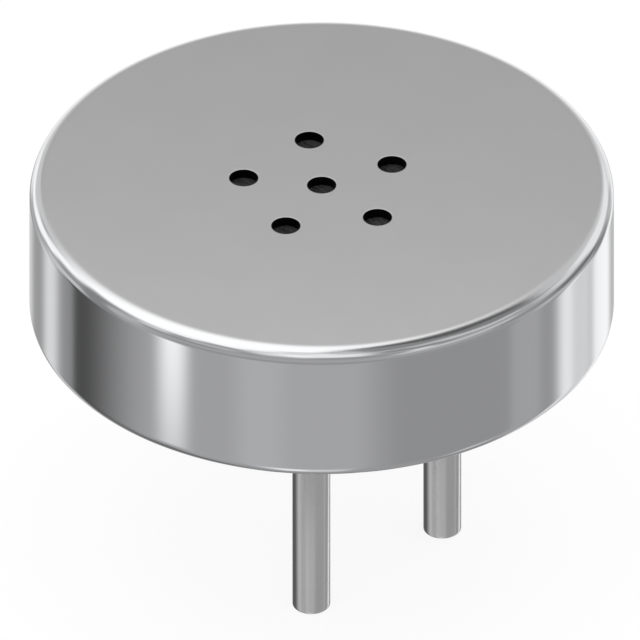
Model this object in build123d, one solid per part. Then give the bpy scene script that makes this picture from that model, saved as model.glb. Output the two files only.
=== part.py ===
# Electret microphone capsule with two solder pins, in millimetres.
#
# A cup drawn from one aluminium sheet holds a stack of round pieces. The rolled lip at
# its rear presses them against the inside of its face. From the face to the rear they are
# a dust cloth, a tensioned film on its ring, a spacer, a charged film on a pierced back
# plate, an insulating ring with a contact ring in it, and a circuit board whose two pins
# go into the board of the user's device.
#
# Frame: +Z points out of the face with the sound holes. The origin is on the cup's axis,
# in the plane of the rolled lip, which is the plane that rests on the user's board. The
# pins stand on the -Y side of the axis, in line along X.

from build123d import *
import os

# Driving dimensions: the drawn cup and its rolled lip
case_diameter = 6.0
sheet = 0.10
shoulder_inner_radius = 0.05
lip_fold_radius = 0.12
lip_grip = 0.28

# Driving dimensions: sound holes, one in the middle and a ring of five
sound_hole_diameter = 0.295
sound_hole_ring_radius = 0.81
sound_hole_count = 5
first_sound_hole_angle = -90.0

# Driving dimensions: thickness of each layer of the stack
cloth_thickness = 0.10
diaphragm_ring_thickness = 0.15
diaphragm_thickness = 0.02
spacer_thickness = 0.03
electret_thickness = 0.02
back_plate_thickness = 0.18
copper_thickness = 0.03
board_thickness = 0.31

# Driving dimensions: radial fit of the stack and the widths of its rings
slip = 0.02
chamber_wall = 0.41
plate_seat = 0.30
ring_overlap = 0.15
gate_ring_wall = 0.12
gate_land_width = 0.22

# Driving dimensions: air holes of the back plate
vent_diameter = 0.45
vent_ring_radius = 1.40
vent_count = 4

# Driving dimensions: solder pins, round with a square tail
pin_diameter = 0.39
pin_length = 2.82
pin_pitch = 1.90
pin_row_offset = 0.80
pin_tip_chamfer = 0.02
pin_shoulder = 0.06
pin_tail_rise = 0.10

# Driving dimensions: copper and solder at the pins
solder_foot = 0.13
rear_pad_margin = 0.125
rear_ring_show = 0.16
rear_solder_setback = 0.015
ground_bridge_width = 0.36
inner_land_margin = 0.10
inner_solder_setback = 0.02

# Driving dimensions: transistor with three bent leads
transistor_length = 1.20
transistor_width = 0.80
transistor_height = 0.38
transistor_draft = 6.0
transistor_stand_off = 0.02
transistor_place_y = 0.62
lead_width = 0.22
lead_thickness = 0.08
lead_pitch = 0.80
lead_embed = 0.14
lead_shelf = 0.05
lead_step = 0.05
lead_rise = 0.06
lead_foot = 0.12
headroom = 0.12

# Driving dimensions: the capacitors between the output and the ground tracks
capacitor_length = 0.60
capacitor_width = 0.30
capacitor_height = 0.30
capacitor_cap_length = 0.15
capacitor_count = 2
capacitor_spacing = 0.18
lead_to_capacitor = 0.27
track_width = 0.24
track_margin = 0.06

# Radii of the cup and of what fits in it
case_radius = case_diameter / 2
bore_radius = case_radius - sheet
shoulder_outer_radius = shoulder_inner_radius + sheet
stack_radius = bore_radius - shoulder_inner_radius - slip
lip_radius = stack_radius - lip_grip
plate_bore_radius = stack_radius - chamber_wall
plate_radius = plate_bore_radius - slip
ring_bore_radius = plate_radius - ring_overlap
contact_bore_radius = plate_bore_radius - plate_seat
gate_ring_radius = contact_bore_radius - slip

# Heights, from the lip at the rear to the face: the cup is as high as its stack
z_rear_copper = sheet
z_board = z_rear_copper + copper_thickness
z_board_top = z_board + board_thickness
z_lands = z_board_top + copper_thickness
cavity_height = max(transistor_height, capacitor_height) + headroom
z_back_plate = z_lands + cavity_height
z_electret = z_back_plate + back_plate_thickness
z_spacer = z_electret + electret_thickness
z_diaphragm = z_spacer + spacer_thickness
z_diaphragm_ring = z_diaphragm + diaphragm_thickness
z_cloth = z_diaphragm_ring + diaphragm_ring_thickness
z_ceiling = z_cloth + cloth_thickness
case_height = z_ceiling + sheet

# Pins and the copper round them
output_pin_place = (-pin_pitch / 2, -pin_row_offset)
ground_pin_place = (pin_pitch / 2, -pin_row_offset)
pin_radius = pin_diameter / 2
tail_corner_radius = pin_radius - pin_shoulder
tail_side = tail_corner_radius * 2**0.5
pin_hole_radius = tail_corner_radius + slip
rear_pad_radius = pin_radius + solder_foot + rear_pad_margin
inner_land_radius = tail_corner_radius + solder_foot + inner_land_margin

# Places of the transistor and the capacitors on the inner face of the board
transistor_near_side = transistor_place_y - transistor_width / 2
transistor_far_side = transistor_place_y + transistor_width / 2
lead_reach = lead_shelf + lead_step + lead_foot
land_width = lead_width + 2 * track_margin
capacitor_core_length = capacitor_length - 2 * capacitor_cap_length
capacitor_pitch = capacitor_width + capacitor_spacing
first_capacitor_y = transistor_near_side - lead_reach - lead_to_capacitor - capacitor_width / 2
last_capacitor_y = first_capacitor_y - (capacitor_count - 1) * capacitor_pitch


def prism(outline, bottom, thickness):
    """A flat piece of any outline, standing on a given height."""
    return Pos(0, 0, bottom) * extrude(outline, thickness)


def disc(radius, bottom, thickness):
    """A flat round layer of the stack."""
    return prism(Circle(radius), bottom, thickness)


def ring(radius, bore, bottom, thickness):
    """A flat round layer with a round opening."""
    return prism(Circle(radius) - Circle(bore), bottom, thickness)


def make_case():
    """The cup: face, shoulder, straight wall and rear lip, as one sheet of metal."""
    corners_and_radii = (
        ((0, case_height), 0),
        ((case_radius, case_height), shoulder_outer_radius),
        ((case_radius, 0), lip_fold_radius),
        ((lip_radius, 0), 0),
        ((lip_radius, sheet), 0),
        ((bore_radius, sheet), 0),
        ((bore_radius, z_ceiling), shoulder_inner_radius),
        ((0, z_ceiling), 0),
    )
    corners = [corner for corner, radius in corners_and_radii]
    radii = [radius for corner, radius in corners_and_radii]
    section = make_face(FilletPolyline(*corners, radius=radii, close=True))
    return revolve(Plane.XZ * section, Axis.Z) - make_sound_holes()


def make_sound_holes():
    """The cylinders that punch the sound holes through the cup's face."""
    places = PolarLocations(
        sound_hole_ring_radius, sound_hole_count, start_angle=first_sound_hole_angle
    )
    hole = Circle(sound_hole_diameter / 2)
    return prism(hole + places * hole, z_ceiling - sheet, 3 * sheet)


def make_plate_layer(bottom, thickness):
    """A layer of the back plate, pierced so that the air behind the film can move."""
    places = PolarLocations(vent_ring_radius, vent_count)
    vents = Sketch() + places * Circle(vent_diameter / 2)
    return prism(Circle(plate_radius) - vents, bottom, thickness)


def make_chamber_ring():
    """The insulating ring: a narrow bore for the contact ring, a wide one for the plate."""
    section = make_face(
        Polyline(
            (contact_bore_radius, z_board_top),
            (stack_radius, z_board_top),
            (stack_radius, z_spacer),
            (plate_bore_radius, z_spacer),
            (plate_bore_radius, z_back_plate),
            (contact_bore_radius, z_back_plate),
            close=True,
        )
    )
    return revolve(Plane.XZ * section, Axis.Z)


def make_board():
    """The circuit board, drilled for the tails of both pins."""
    places = Locations(output_pin_place, ground_pin_place)
    holes = Sketch() + places * Circle(pin_hole_radius)
    return prism(Circle(stack_radius) - holes, z_board, board_thickness)


def make_rear_output_pad():
    """The round pad that the output pin stands on."""
    pad = Circle(rear_pad_radius) - Circle(pin_hole_radius)
    return prism(Pos(*output_pin_place) * pad, z_rear_copper, copper_thickness)


def make_rear_ground_copper():
    """The ring under the lip, with a bridge to the ground pin's pad."""
    ring_inner_radius = lip_radius - rear_ring_show
    lip_ring = Circle(stack_radius) - Circle(ring_inner_radius)
    pad_centre = Vector(*ground_pin_place)
    bearing = Vector(1, 0).get_signed_angle(pad_centre, Vector(0, 0, 1))
    bridge_length = lip_radius - pad_centre.length
    bridge = Rectangle(bridge_length, ground_bridge_width, align=(Align.MIN, Align.CENTER))
    bridge = Rotation(0, 0, bearing) * Pos(pad_centre.length, 0) * bridge
    pad = Pos(*ground_pin_place) * Circle(rear_pad_radius)
    hole = Pos(*ground_pin_place) * Circle(pin_hole_radius)
    return prism(lip_ring + bridge + pad - hole, z_rear_copper, copper_thickness)


def make_gate_track():
    """The land under the contact ring, with a tongue to the transistor's gate lead."""
    land = Circle(gate_ring_radius) - Circle(gate_ring_radius - gate_land_width)
    tongue_start = transistor_far_side + lead_shelf / 2
    tongue_end = gate_ring_radius - gate_land_width / 2
    tongue = Rectangle(land_width, tongue_end - tongue_start, align=(Align.CENTER, Align.MIN))
    return prism(land + Pos(0, tongue_start) * tongue, z_board_top, copper_thickness)


def make_inner_track(side):
    """The copper from a lead past the capacitors to a pin, at side -1 or 1 of the board."""
    spine_inner = capacitor_core_length / 2
    spine_outer = max(
        capacitor_length / 2 + track_margin,
        lead_pitch / 2 + land_width / 2,
    )
    spine_top = transistor_near_side - lead_shelf / 2
    spine_bottom = last_capacitor_y - capacitor_width / 2 - track_margin
    pin_place = Pos(pin_pitch / 2, -pin_row_offset)
    spine = Rectangle(
        spine_outer - spine_inner, spine_top - spine_bottom, align=(Align.MIN, Align.MAX)
    )
    arm = Rectangle(pin_pitch / 2 - spine_inner, track_width, align=(Align.MAX, Align.CENTER))
    track = Pos(spine_inner, spine_top) * spine + pin_place * arm
    track += pin_place * Circle(inner_land_radius)
    track -= pin_place * Circle(pin_hole_radius)
    if side < 0:
        track = mirror(track, about=Plane.YZ)
    return prism(track, z_board_top, copper_thickness)


def make_tail(place):
    """The square tail of a pin, from its shoulder through the board and the inner land."""
    tail_length = z_lands + pin_tail_rise - z_rear_copper
    return prism(Pos(*place) * Rectangle(tail_side, tail_side), z_rear_copper, tail_length)


def make_pin(place):
    """A pin: the round shank stands on its pad, the square tail goes through the board."""
    shank = prism(Pos(*place) * Circle(pin_radius), -pin_length, pin_length + z_rear_copper)
    tip_edge = shank.edges().sort_by(Axis.Z)[0]
    return chamfer(tip_edge, pin_tip_chamfer) + make_tail(place)


def make_solder(radius, height):
    """A cone of solder standing on z = 0, as wide at its top as the pin that it holds."""
    foot_radius = radius + solder_foot
    section = make_face(Polyline((0, 0), (foot_radius, 0), (radius, height), (0, height), close=True))
    return revolve(Plane.XZ * section, Axis.Z)


def make_rear_solder(place):
    """Solder round a pin's shank on the rear pad, kept inside the depth of the lip."""
    height = sheet - rear_solder_setback
    solder = Pos(*place, z_rear_copper) * Rotation(180, 0, 0) * make_solder(pin_radius, height)
    return solder - make_pin(place)


def make_inner_solder(place):
    """Solder round a pin's tail on the inner land."""
    height = pin_tail_rise - inner_solder_setback
    solder = Pos(*place, z_lands) * make_solder(tail_corner_radius, height)
    return solder - make_tail(place)


def make_lead(offset_x, side):
    """A bent lead: held in the moulding, then out, down and flat on its land."""
    slope = (lead_step**2 + lead_rise**2) ** 0.5
    inside_shift = lead_thickness * (slope - lead_step) / lead_rise
    upper_face = lead_rise + lead_thickness
    section = make_face(
        Polyline(
            (-lead_embed, upper_face),
            (lead_shelf, upper_face),
            (lead_shelf + lead_step, lead_thickness),
            (lead_reach, lead_thickness),
            (lead_reach, 0),
            (lead_shelf + lead_step - inside_shift, 0),
            (lead_shelf - inside_shift, lead_rise),
            (-lead_embed, lead_rise),
            close=True,
        )
    )
    lead = extrude(Plane.YZ * section, lead_width / 2, both=True)
    if side < 0:
        lead = mirror(lead, about=Plane.XZ)
    return Pos(offset_x, transistor_place_y + side * transistor_width / 2, z_lands) * lead


def make_transistor():
    """The transistor: a tapered moulding round the inner ends of its three leads."""
    leads = {
        "gate_lead": make_lead(0, 1),
        "drain_lead": make_lead(-lead_pitch / 2, -1),
        "source_lead": make_lead(lead_pitch / 2, -1),
    }
    outline = Rectangle(transistor_length, transistor_width)
    body = extrude(outline, transistor_height - transistor_stand_off, taper=transistor_draft)
    body = Pos(0, transistor_place_y, z_lands + transistor_stand_off) * body
    for lead in leads.values():
        body -= lead
    return {"transistor_body": body, **leads}


def make_capacitor(number):
    """One capacitor: its ceramic body and its two metal end caps."""
    place_y = first_capacitor_y - (number - 1) * capacitor_pitch
    cap_x = (capacitor_core_length + capacitor_cap_length) / 2
    core = Rectangle(capacitor_core_length, capacitor_width)
    cap = Rectangle(capacitor_cap_length, capacitor_width)
    outlines = {
        "body": Pos(0, place_y) * core,
        "output_cap": Pos(-cap_x, place_y) * cap,
        "ground_cap": Pos(cap_x, place_y) * cap,
    }
    return {
        f"capacitor_{number}_{piece}": prism(outline, z_lands, capacitor_height)
        for piece, outline in outlines.items()
    }


def make_capsule():
    """All pieces of the capsule, by the name of each."""
    pieces = {
        "case": make_case(),
        "dust_cloth": disc(stack_radius, z_cloth, cloth_thickness),
        "diaphragm_ring": ring(
            stack_radius, ring_bore_radius, z_diaphragm_ring, diaphragm_ring_thickness
        ),
        "diaphragm": disc(stack_radius, z_diaphragm, diaphragm_thickness),
        "spacer_ring": ring(stack_radius, ring_bore_radius, z_spacer, spacer_thickness),
        "electret_film": make_plate_layer(z_electret, electret_thickness),
        "back_plate": make_plate_layer(z_back_plate, back_plate_thickness),
        "chamber_ring": make_chamber_ring(),
        "gate_ring": ring(
            gate_ring_radius, gate_ring_radius - gate_ring_wall, z_lands, cavity_height
        ),
        "circuit_board": make_board(),
        "rear_ground_copper": make_rear_ground_copper(),
        "rear_output_pad": make_rear_output_pad(),
        "gate_track": make_gate_track(),
        "output_track": make_inner_track(-1),
        "ground_track": make_inner_track(1),
    }
    pieces.update(make_transistor())
    for number in range(1, capacitor_count + 1):
        pieces.update(make_capacitor(number))
    for name, place in (("output", output_pin_place), ("ground", ground_pin_place)):
        pieces[f"{name}_pin"] = make_pin(place)
        pieces[f"{name}_rear_solder"] = make_rear_solder(place)
        pieces[f"{name}_inner_solder"] = make_inner_solder(place)
    return pieces


os.makedirs("parts", exist_ok=True)
for node, piece in make_capsule().items():
    export_step(piece, f"parts/{node}.step")
print(f"case height {case_height:.3f} mm, overall {case_height + pin_length:.3f} mm")
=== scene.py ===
"""Looks of an electret microphone capsule: the drawn cup, the rear board, the pins and the sealed stack.

Pieces are modelled in millimetres on the capsule's own axes and brought to metres when finished.
"""

import logging
import math
from collections.abc import Callable, Iterator, Sequence
from contextlib import contextmanager
from dataclasses import dataclass, field, replace
from enum import Enum

import bmesh
import bpy
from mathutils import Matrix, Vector


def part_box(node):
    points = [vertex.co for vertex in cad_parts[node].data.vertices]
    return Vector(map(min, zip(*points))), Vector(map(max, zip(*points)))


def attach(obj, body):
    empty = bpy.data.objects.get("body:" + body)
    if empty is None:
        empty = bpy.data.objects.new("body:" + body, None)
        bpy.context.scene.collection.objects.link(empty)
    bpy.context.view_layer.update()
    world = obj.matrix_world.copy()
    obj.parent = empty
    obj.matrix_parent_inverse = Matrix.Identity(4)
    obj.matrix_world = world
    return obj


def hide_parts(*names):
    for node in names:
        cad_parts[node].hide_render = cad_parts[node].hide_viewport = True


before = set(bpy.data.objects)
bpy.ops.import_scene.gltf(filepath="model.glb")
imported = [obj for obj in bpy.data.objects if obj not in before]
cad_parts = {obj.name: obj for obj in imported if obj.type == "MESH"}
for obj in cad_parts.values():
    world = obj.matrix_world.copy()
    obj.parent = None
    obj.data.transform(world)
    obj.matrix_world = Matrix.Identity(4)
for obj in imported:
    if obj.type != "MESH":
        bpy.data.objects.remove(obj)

MM = 0.001
# Two places closer than this, in millimetres, count as one.
NEAR = 1e-4
# How far a cutting blank reaches past what it cuts, in millimetres.
OVERSHOOT = 0.1
# The least Z of the normal of a face that counts as level.
LEVEL = 0.9999
# The camera's side of the capsule, in degrees round Z from X.
CAMERA_BEARING = -135.0
PINS = ("output_pin", "ground_pin")
BODY = "root"
LOG = logging.getLogger("capsule")

Pair = tuple[float, float]
Colour = tuple[float, float, float]
Outline = Sequence[Pair]
Test = Callable[[Vector, Vector], bool]
Socket = bpy.types.NodeSocket
Sockets = dict[str, Socket]
Looks = tuple[object, object, object]


class Element(Enum):
    """What an operator in edit mode works on."""

    VERTEX = "VERT"
    EDGE = "EDGE"
    FACE = "FACE"


class Merge(Enum):
    """How a second blank changes the first one."""

    CUT = "DIFFERENCE"
    FUSE = "UNION"
    KEEP = "INTERSECT"


@dataclass(frozen=True)
class Span:
    """The box of one CAD node, in millimetres."""

    low: Vector
    high: Vector

    @classmethod
    def of(cls, node: str) -> "Span":
        """Read a node's box from the frame.

        Args:
            node: name of the CAD node.

        Returns:
            The box in millimetres.
        """
        low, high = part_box(node)
        return cls(low / MM, high / MM)

    @property
    def radius(self) -> float:
        """Half the width along X."""
        return (self.high.x - self.low.x) / 2

    @property
    def centre(self) -> Pair:
        """The middle of the box, seen from above."""
        middle = (self.low + self.high) / 2
        return middle.x, middle.y


class Blank:
    """A piece while it is being shaped, in millimetres, with the operators that shape it."""

    merge_distance = 1e-5
    smooth_angle = 38.0

    def __init__(self, made: bpy.types.Object) -> None:
        """Take over a primitive that has just been added.

        Args:
            made: the primitive's object, whose place is applied to its mesh.
        """
        self.object = made
        self.apply_place()

    @classmethod
    def cylinder(
        cls, radius: float, bottom: float, top: float, steps: int, centre: Pair = (0, 0)
    ) -> "Blank":
        """Add a closed upright cylinder.

        Args:
            radius: its radius.
            bottom: height of its lower end.
            top: height of its upper end.
            steps: number of sides round it.
            centre: place of its axis.

        Returns:
            The blank.
        """
        deselect_all()
        bpy.ops.mesh.primitive_cylinder_add(
            vertices=steps,
            radius=radius,
            depth=top - bottom,
            location=(*centre, (bottom + top) / 2),
        )
        return cls(bpy.context.active_object)

    @classmethod
    def box(cls, low: Sequence[float], high: Sequence[float]) -> "Blank":
        """Add a closed box between two corners.

        Args:
            low: its lowest corner.
            high: its highest corner.

        Returns:
            The blank.
        """
        deselect_all()
        low, high = Vector(low), Vector(high)
        bpy.ops.mesh.primitive_cube_add(size=1, location=(low + high) / 2, scale=high - low)
        return cls(bpy.context.active_object)

    @classmethod
    def turned(cls, outline: Outline, steps: int, centre: Pair = (0, 0)) -> "Blank":
        """Draw a closed outline with one vertex at a time and spin it round an upright axis.

        Args:
            outline: the radius and height of each corner, in order.
            steps: number of steps round the axis.
            centre: place of the axis.

        Returns:
            The blank.
        """
        deselect_all()
        start_radius, start_height = outline[0]
        bpy.ops.mesh.primitive_plane_add(size=1, location=(start_radius, 0, start_height))
        blank = cls(bpy.context.active_object)
        with blank.editing(Element.VERTEX):
            bpy.ops.mesh.select_all(action="SELECT")
            bpy.ops.mesh.merge(type="CENTER")
            for (radius, height), (next_radius, next_height) in zip(outline, outline[1:]):
                step = (next_radius - radius, 0, next_height - height)
                bpy.ops.mesh.extrude_region_move(TRANSFORM_OT_translate={"value": step})
            bpy.ops.mesh.select_all(action="SELECT")
            bpy.ops.mesh.edge_face_add()
            bpy.ops.mesh.delete(type="ONLY_FACE")
            bpy.ops.mesh.select_all(action="SELECT")
            bpy.ops.mesh.spin(steps=steps, angle=2 * math.pi, center=(0, 0, 0), axis=(0, 0, 1))
            bpy.ops.mesh.select_all(action="SELECT")
            bpy.ops.mesh.remove_doubles(threshold=cls.merge_distance)
            bpy.ops.mesh.normals_make_consistent(inside=False)
        blank.object.location = (*centre, 0)
        return cls(blank.object)

    def select(self) -> None:
        """Make this blank the only selected and the active object."""
        deselect_all()
        self.object.select_set(True)
        bpy.context.view_layer.objects.active = self.object

    def apply_place(self) -> None:
        """Bring the object's place, turn and size into its mesh."""
        self.select()
        bpy.ops.object.transform_apply(location=True, rotation=True, scale=True)

    @contextmanager
    def editing(self, element: Element) -> Iterator[bmesh.types.BMesh]:
        """Hold the blank in edit mode, with nothing selected.

        Args:
            element: what the operators are to work on.

        Yields:
            The mesh that is being edited.
        """
        self.select()
        bpy.ops.object.mode_set(mode="EDIT")
        bpy.ops.mesh.select_mode(type=element.value)
        bpy.ops.mesh.select_all(action="DESELECT")
        yield bmesh.from_edit_mesh(self.object.data)
        bpy.ops.object.mode_set(mode="OBJECT")

    def bevel_edges(self, test: Test, radius: float, steps: int) -> None:
        """Round the edges that a test picks.

        Args:
            test: says of an edge's two ends whether it is rounded.
            radius: radius of the rounding.
            steps: number of faces across it.
        """
        with self.editing(Element.EDGE) as mesh:
            for edge in mesh.edges:
                edge.select_set(test(*(corner.co for corner in edge.verts)))
            bpy.ops.mesh.bevel(offset=radius, segments=steps, profile=0.5)

    def inset_faces(self, test: Test, width: float, remove: bool = False) -> None:
        """Inset the faces that a test picks.

        Args:
            test: says of a face's middle and normal whether it is inset.
            width: width of the new border.
            remove: whether the face inside the border goes, which leaves an opening.
        """
        with self.editing(Element.FACE) as mesh:
            for face in mesh.faces:
                face.select_set(test(face.calc_center_median(), face.normal))
            bpy.ops.mesh.inset(thickness=width)
            if remove:
                bpy.ops.mesh.delete(type="FACE")

    def border_flats(self, width: float) -> None:
        """Lay a narrow border inside every level face, which keeps the shading flat within it.

        Args:
            width: width of the border.
        """
        self.inset_faces(lambda middle, normal: abs(normal.z) > LEVEL, width)

    def slice_at(self, heights: Sequence[float]) -> None:
        """Add a loop of edges at each height, which keeps the shading flat between them.

        Args:
            heights: where the loops go.
        """
        for height in heights:
            with self.editing(Element.EDGE):
                bpy.ops.mesh.select_all(action="SELECT")
                bpy.ops.mesh.bisect(plane_co=(0, 0, height), plane_no=(0, 0, 1))

    def modify(self, kind: str, **settings: object) -> None:
        """Add a modifier and apply it.

        Args:
            kind: type of the modifier.
            settings: its properties.
        """
        self.select()
        modifier = self.object.modifiers.new(kind.lower(), kind)
        for key, value in settings.items():
            setattr(modifier, key, value)
        bpy.ops.object.modifier_apply(modifier=modifier.name)

    def merge(self, other: "Blank", how: Merge) -> None:
        """Fuse another blank to this one, cut it away or keep only what both share, and use it up.

        Args:
            other: the second blank.
            how: which of these is done.
        """
        self.modify("BOOLEAN", object=other.object, operation=how.value, solver="EXACT")
        bpy.data.objects.remove(other.object)

    def cut_round(self, radius: float, low: float, high: float, steps: int, centre: Pair = (0, 0)) -> None:
        """Cut a round opening right through.

        Args:
            radius: its radius.
            low: lower side of what is cut.
            high: upper side of what is cut.
            steps: number of sides round it.
            centre: place of its axis.
        """
        cutter = Blank.cylinder(radius, low - OVERSHOOT, high + OVERSHOOT, steps, centre)
        self.merge(cutter, Merge.CUT)

    def soften_edges(self, radius: float, steps: int = 2, angle: float = 40) -> None:
        """Round every sharp edge a little, as on a real piece.

        Args:
            radius: radius of the rounding.
            steps: number of faces across it.
            angle: the least angle, in degrees, of an edge that counts as sharp.
        """
        self.modify(
            "BEVEL",
            width=radius,
            segments=steps,
            limit_method="ANGLE",
            angle_limit=math.radians(angle),
            use_clamp_overlap=True,
        )

    def finish(self, name: str, slot: str, material: bpy.types.Material, *nodes: str) -> None:
        """Bring the blank to metres and hand it over as a finished piece.

        Args:
            name: name of the piece.
            slot: material slot of the record that its finish comes from; not used.
            material: the finish.
            nodes: CAD nodes that the piece stands for.
        """
        piece = self.object
        piece.scale = (MM, MM, MM)
        self.apply_place()
        bpy.ops.object.shade_smooth_by_angle(angle=math.radians(self.smooth_angle))
        piece.name = name
        piece.data.name = name
        piece.data.materials.clear()
        piece.data.materials.append(material)
        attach(piece, BODY)
        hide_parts(*nodes)
        LOG.info("%s: %d faces, in place of %s", name, len(piece.data.polygons), ", ".join(nodes))


def deselect_all() -> None:
    """Deselect every object, because operators act on all that is selected."""
    bpy.ops.object.select_all(action="DESELECT")


class Sheet:
    """A node tree with short ways to add and join nodes."""

    def __init__(self, tree: bpy.types.NodeTree) -> None:
        """Wrap a node tree.

        Args:
            tree: the tree that nodes are added to.
        """
        self.tree = tree

    @classmethod
    def emptied(cls, owner: bpy.types.Material | bpy.types.World) -> "Sheet":
        """Give a material or a world nodes of its own, and clear them.

        Args:
            owner: the material or world.

        Returns:
            Its empty sheet.
        """
        owner.use_nodes = True
        owner.node_tree.nodes.clear()
        return cls(owner.node_tree)

    def add(self, kind: str, **inputs: object) -> bpy.types.Node:
        """Add a node and set or join its inputs.

        Args:
            kind: type of the node.
            inputs: value or socket for each input, by name with underscores for spaces.
                A name in small letters is a property of the node.

        Returns:
            The node.
        """
        node = self.tree.nodes.new(kind)
        for key, value in inputs.items():
            if key[0].islower():
                setattr(node, key, value)
        for key, value in inputs.items():
            if not key[0].islower():
                self.feed(value, node.inputs[key.replace("_", " ")])
        return node

    def feed(self, value: object, socket: Socket) -> None:
        """Join a socket to an input, or set the input's own value.

        Args:
            value: a socket or a plain value.
            socket: the input.
        """
        if isinstance(value, Socket):
            self.tree.links.new(value, socket)
        else:
            socket.default_value = value

    def operate(self, kind: str, operation: str, values: Sequence[object]) -> bpy.types.Node:
        """Add a node that works out one thing from its inputs.

        Args:
            kind: type of the node.
            operation: what it does.
            values: its inputs in order.

        Returns:
            The node.
        """
        node = self.add(kind, operation=operation)
        for value, socket in zip(values, node.inputs):
            self.feed(value, socket)
        return node

    def math(self, operation: str, *values: object) -> Socket:
        """Add a Math node and give its output."""
        return self.operate("ShaderNodeMath", operation, values).outputs[0]

    def vector(self, operation: str, *values: object) -> bpy.types.Node:
        """Add a Vector Math node, whose result is a vector or a value."""
        return self.operate("ShaderNodeVectorMath", operation, values)

    def noise(self, place: Socket, scale: object, detail: float, distortion: float = 0.0) -> Socket:
        """Add a Noise Texture.

        Args:
            place: the place that it is read at.
            scale: its cells per millimetre.
            detail: number of finer layers.
            distortion: how much it is stirred.

        Returns:
            Its value.
        """
        node = self.add("ShaderNodeTexNoise", Vector=place, Scale=scale, Detail=detail)
        node.inputs["Distortion"].default_value = distortion
        return node.outputs[0]

    def window(self, value: object, start: float, end: float, low: float = 0, high: float = 1) -> Socket:
        """Map a value smoothly from one range to another, and hold it at the ends.

        The smooth step holds its ends by itself. The node's own clamp is one more node in the
        shader, and with it the cards of the surroundings are more than one shader can hold.

        Args:
            value: the value.
            start: where the change starts.
            end: where it ends.
            low: result at the start.
            high: result at the end.

        Returns:
            The result.
        """
        node = self.add(
            "ShaderNodeMapRange",
            interpolation_type="SMOOTHSTEP",
            clamp=False,
            Value=value,
            From_Min=start,
            From_Max=end,
            To_Min=low,
            To_Max=high,
        )
        return node.outputs["Result"]

    def blend(self, factor: object, first: object, second: object) -> Socket:
        """Mix two values.

        Args:
            factor: 0 for the first value, 1 for the second.
            first: the first value.
            second: the second value.

        Returns:
            The mixed value.
        """
        node = self.add("ShaderNodeMix", data_type="FLOAT")
        for value, number in ((factor, 0), (first, 2), (second, 3)):
            self.feed(value, node.inputs[number])
        return node.outputs[0]

    def blend_colour(self, factor: object, first: object, second: object) -> Socket:
        """Mix two colours.

        Args:
            factor: 0 for the first colour, 1 for the second.
            first: the first colour, as a socket or red, green and blue.
            second: the second colour, likewise.

        Returns:
            The mixed colour.
        """
        node = self.add("ShaderNodeMix", data_type="RGBA")
        self.feed(factor, node.inputs[0])
        for value, number in ((first, 6), (second, 7)):
            self.feed((*value, 1) if isinstance(value, tuple) else value, node.inputs[number])
        return node.outputs[2]

    def place(self) -> Socket:
        """The place on the piece in millimetres, on the capsule's axes."""
        source = self.tree.nodes.new("ShaderNodeTexCoord")
        scaled = self.vector("SCALE", source.outputs["Object"])
        scaled.inputs["Scale"].default_value = 1 / MM
        return scaled.outputs["Vector"]

    def discs(self, place: Socket, centres: Sequence[Pair], full: float, clear: float) -> object:
        """Draw round spots, seen from above.

        Args:
            place: the place on the piece, with a Z of 0.
            centres: middles of the spots.
            full: distance from a middle within which the spot is full.
            clear: distance beyond which there is none of it.

        Returns:
            1 in a spot, 0 elsewhere.
        """
        mask: object = 0.0
        for centre in centres:
            away = self.vector("DISTANCE", place, (*centre, 0)).outputs["Value"]
            mask = self.math("MAXIMUM", mask, self.window(away, clear, full))
        return mask

    def show_through(self, owner: bpy.types.Material, mask: object, off: Socket, on: Socket) -> None:
        """Finish a studio material that shows one shader or the other, and lights nothing by itself.

        Args:
            owner: the material.
            mask: 0 for the first shader, 1 for the second.
            off: the first shader.
            on: the second shader.
        """
        both = self.add("ShaderNodeMixShader")
        for value, socket in zip((mask, off, on), both.inputs):
            self.feed(value, socket)
        self.add("ShaderNodeOutputMaterial", Surface=both.outputs[0])
        owner.cycles.emission_sampling = "NONE"


@dataclass(frozen=True)
class Effect:
    """A shader node group that several finishes share."""

    name: str
    inputs: dict[str, float | None]
    outputs: tuple[str, ...]
    draw: Callable[[Sheet, Sockets], Sockets]

    def group(self) -> bpy.types.NodeTree:
        """Give the node group, which is built once.

        Returns:
            The group.
        """
        known = bpy.data.node_groups.get(self.name)
        if known:
            return known
        tree = bpy.data.node_groups.new(self.name, "ShaderNodeTree")
        for label, value in self.inputs.items():
            kind = "NodeSocketVector" if value is None else "NodeSocketFloat"
            socket = tree.interface.new_socket(label, in_out="INPUT", socket_type=kind)
            if value is not None:
                socket.default_value = value
        for label in self.outputs:
            tree.interface.new_socket(label, in_out="OUTPUT", socket_type="NodeSocketFloat")
        sheet = Sheet(tree)
        entry = tree.nodes.new("NodeGroupInput")
        leave = tree.nodes.new("NodeGroupOutput")
        drawn = self.draw(sheet, {label: entry.outputs[label] for label in self.inputs})
        for label in self.outputs:
            sheet.feed(drawn[label], leave.inputs[label])
        return tree

    def use(self, sheet: Sheet, **inputs: object) -> bpy.types.Node:
        """Place the effect in a material.

        Args:
            sheet: the material's nodes.
            inputs: value or socket for each input, by name.

        Returns:
            The group's node.
        """
        node = sheet.tree.nodes.new("ShaderNodeGroup")
        node.node_tree = self.group()
        for key, value in inputs.items():
            sheet.feed(value, node.inputs[key.replace("_", " ")])
        return node


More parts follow.
